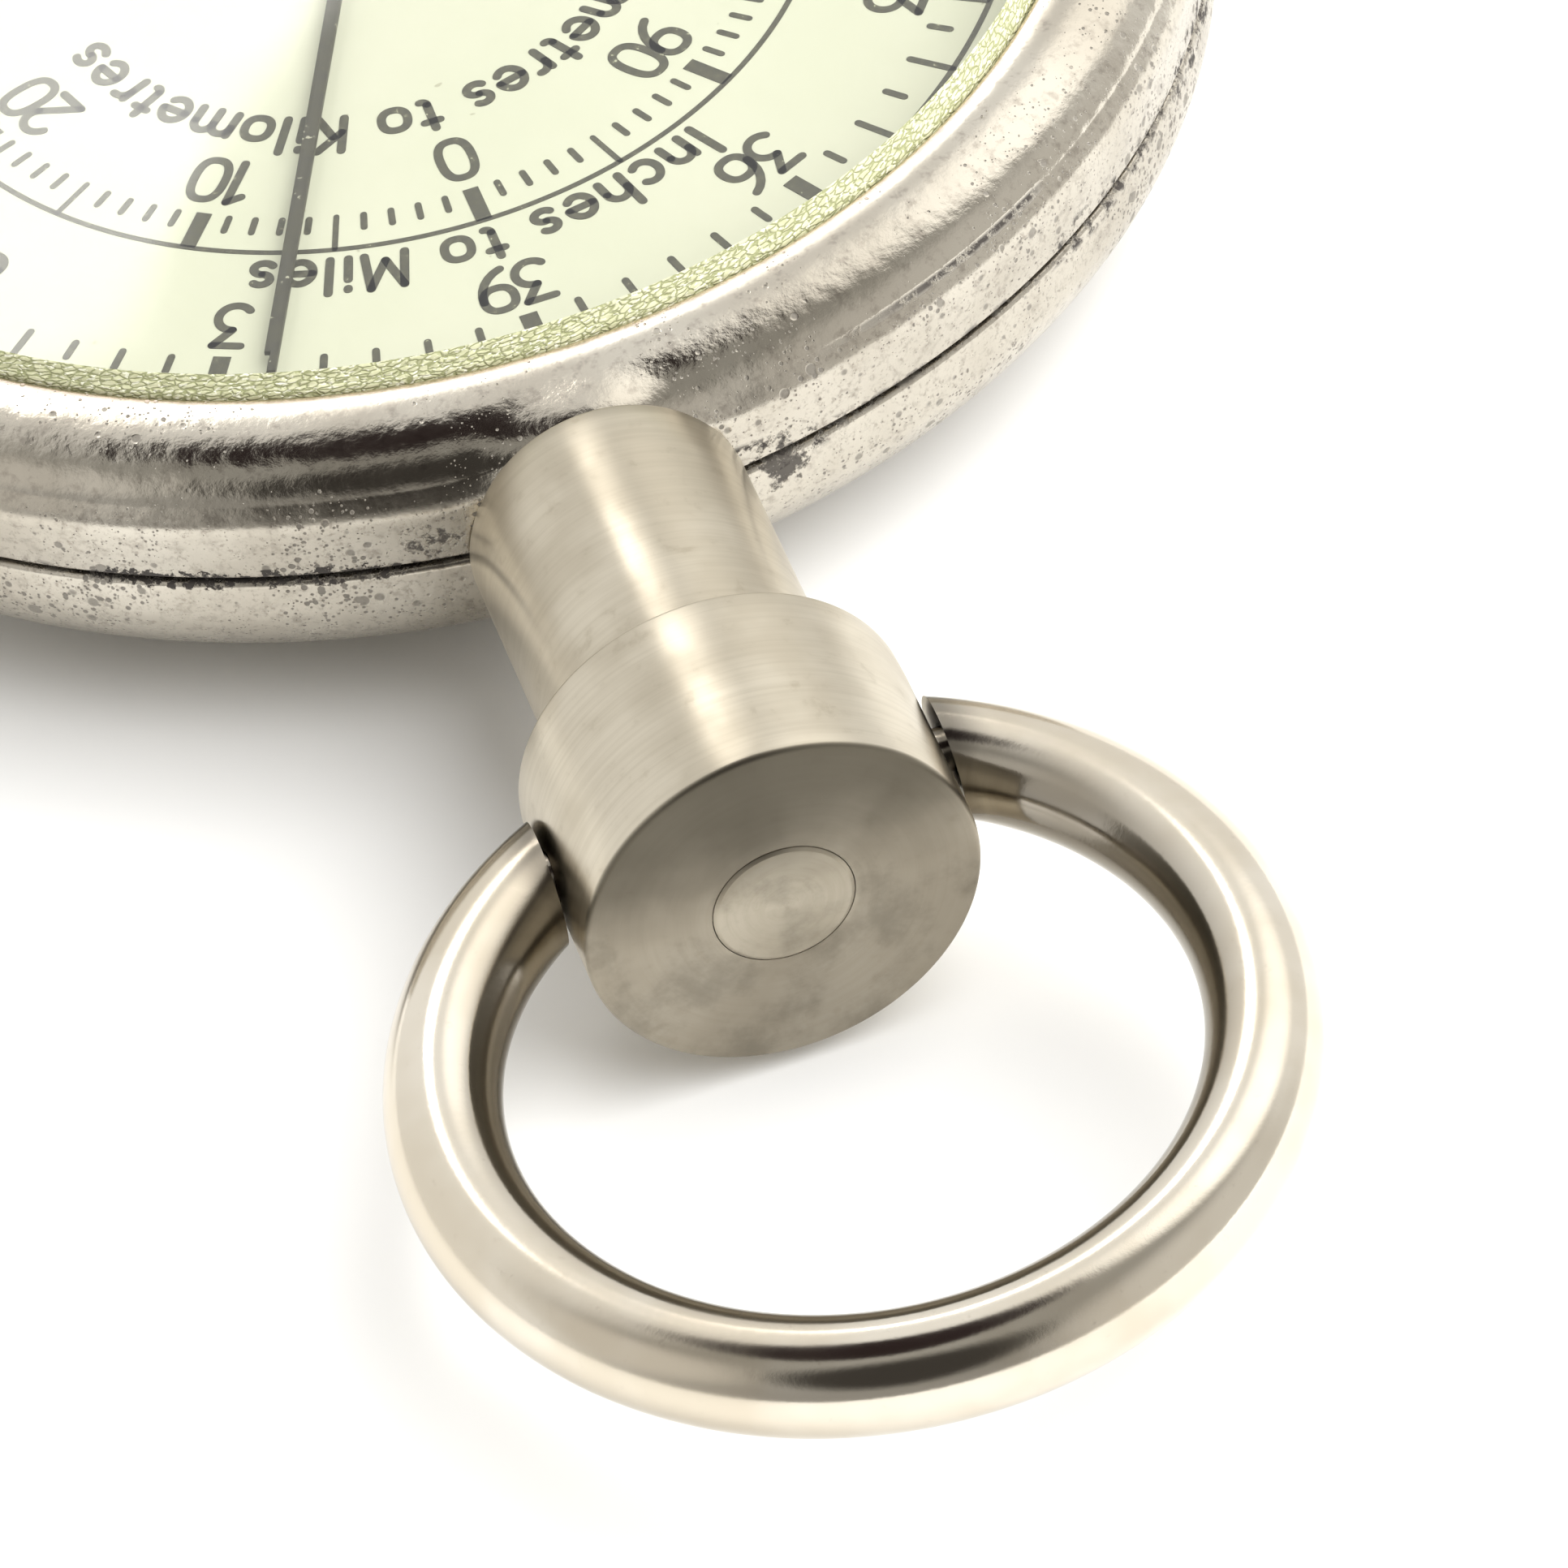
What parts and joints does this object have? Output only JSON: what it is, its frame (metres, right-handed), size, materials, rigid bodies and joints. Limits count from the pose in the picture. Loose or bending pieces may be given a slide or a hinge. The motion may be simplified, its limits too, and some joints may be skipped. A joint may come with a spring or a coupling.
{
  "type": "map measurer",
  "caption": "Watch-style map measurer: round nickel case with a domed crystal and a single hand, a geared tracing wheel at one end, a turned stem and a swinging wire bow at the other.",
  "frame": {"origin": "centre of the flat part of the case back, the face that the object rests on", "axes": "+Z out of the dial, the stem and bow along -Y, the tracing wheel along +Y"},
  "size_m": [0.0316, 0.0554, 0.0074],
  "materials": {
    "case_nickel": "worn nickel plate with pitting, copper showing at the lip",
    "stem_nickel": "satin turned nickel, warm",
    "bow_nickel": "polished nickel, slightly worn",
    "crystal": "clear, domed",
    "seal": "rough, olive green",
    "dial": "cream paint with dark printed scales",
    "hand": "dark, satin",
    "brass": "satin",
    "steel": "satin"
  },
  "bodies": {
    "case": {"front_shell": "case_nickel", "back_cover": "case_nickel", "crystal": "crystal", "crystal_seal": "seal", "dial": "dial", "front_plate": "brass", "back_plate": "brass", "pillar_1": "brass", "pillar_2": "brass", "pillar_3": "brass", "pillar_4": "brass", "plate_screw_1": "steel", "plate_screw_2": "steel", "plate_screw_3": "steel", "plate_screw_4": "steel", "movement_screw_1": "steel", "movement_screw_2": "steel", "neck": "stem_nickel", "head": "stem_nickel", "stem_rivet": "stem_nickel"},
    "hand_arbor": {"centre_arbor": "steel", "centre_wheel": "brass", "hand_boss": "brass", "hand": "hand"},
    "intermediate_arbor": {"intermediate_pinion": "steel", "intermediate_wheel": "brass"},
    "wheel_arbor": {"wheel_axle": "steel", "tracing_wheel": "steel"},
    "bow_ring": {"bow": "bow_nickel"}
  },
  "joints": [
    {"name": "hand_spin", "type": "hinge", "parent": "case", "child": "hand_arbor", "pos_m": [0, 0, 0.0045], "axis": [0, 0, 1], "continuous": true},
    {"name": "intermediate_spin", "type": "hinge", "parent": "case", "child": "intermediate_arbor", "pos_m": [0, 0.00756, 0.003], "axis": [0, 0, 1], "continuous": true},
    {"name": "wheel_spin", "type": "hinge", "parent": "case", "child": "wheel_arbor", "pos_m": [0, 0.015, 0.003], "axis": [0, 0, 1], "continuous": true},
    {"name": "bow_swing", "type": "hinge", "parent": "case", "child": "bow_ring", "pos_m": [0, -0.02359, 0.00381], "axis": [1, 0, 0], "range_deg": [-150, 148]}
  ],
  "couplings": [
    {"joint": "intermediate_spin", "follows": "hand_spin", "ratio": -6.6667},
    {"joint": "wheel_spin", "follows": "hand_spin", "ratio": 50}
  ]
}
